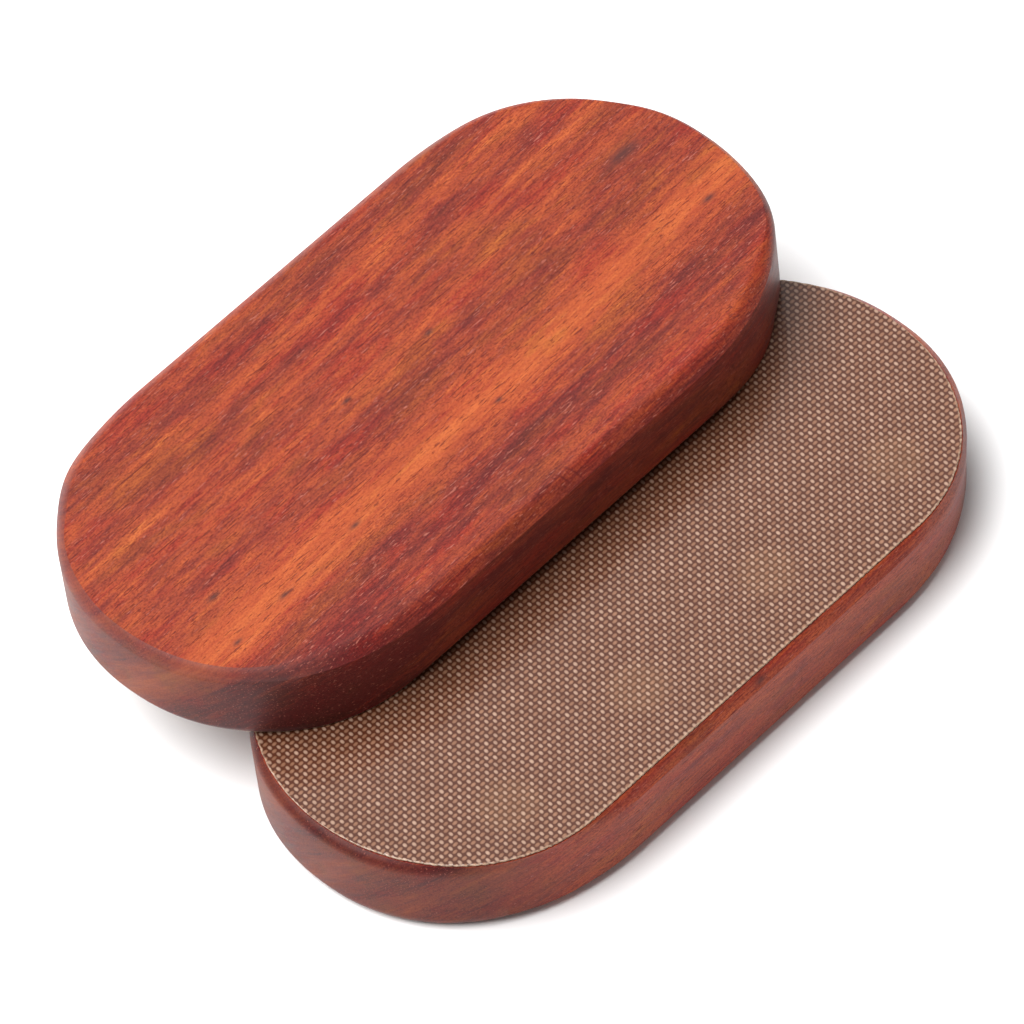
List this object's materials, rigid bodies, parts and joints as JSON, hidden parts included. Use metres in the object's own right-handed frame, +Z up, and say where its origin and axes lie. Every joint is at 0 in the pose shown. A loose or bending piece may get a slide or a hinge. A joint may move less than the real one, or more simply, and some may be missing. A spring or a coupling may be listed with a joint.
{
  "type": "magnetic hand slider",
  "caption": "Palm-size wooden hand slider: matched obround blocks held face to face by hidden magnets, which slide across each other on coated woven facings.",
  "frame": {"origin": "centre of the flat underside of the lower half", "axes": "+X along the blocks' length, +Y across them towards where the upper half rests, +Z up through the stack"},
  "size_m": [0.06, 0.048, 0.0139],
  "materials": {
    "wood": "oiled red-orange padauk with dark stripes, satin",
    "facing_weave": "brown coated plain-weave glass cloth, semi-gloss",
    "adhesive": "translucent yellowish adhesive film",
    "magnet": "nickel plate"
  },
  "bodies": {
    "lower_half": {"lower_block": "wood", "lower_facing_sheet": "facing_weave", "lower_adhesive_film": "adhesive", "lower_magnet_1": "magnet", "lower_magnet_2": "magnet", "lower_magnet_3": "magnet", "lower_magnet_4": "magnet", "lower_magnet_5": "magnet", "lower_magnet_6": "magnet", "lower_magnet_7": "magnet", "lower_magnet_8": "magnet"},
    "upper_half": {"upper_block": "wood", "upper_facing_sheet": "facing_weave", "upper_adhesive_film": "adhesive", "upper_magnet_1": "magnet", "upper_magnet_2": "magnet", "upper_magnet_3": "magnet", "upper_magnet_4": "magnet", "upper_magnet_5": "magnet", "upper_magnet_6": "magnet", "upper_magnet_7": "magnet", "upper_magnet_8": "magnet"}
  },
  "joints": [
    {"name": "cross_slide", "type": "slide", "parent": "lower_half", "child": "upper_half", "axis": [0, 1, 0], "range_m": [-0.036, 0]}
  ]
}
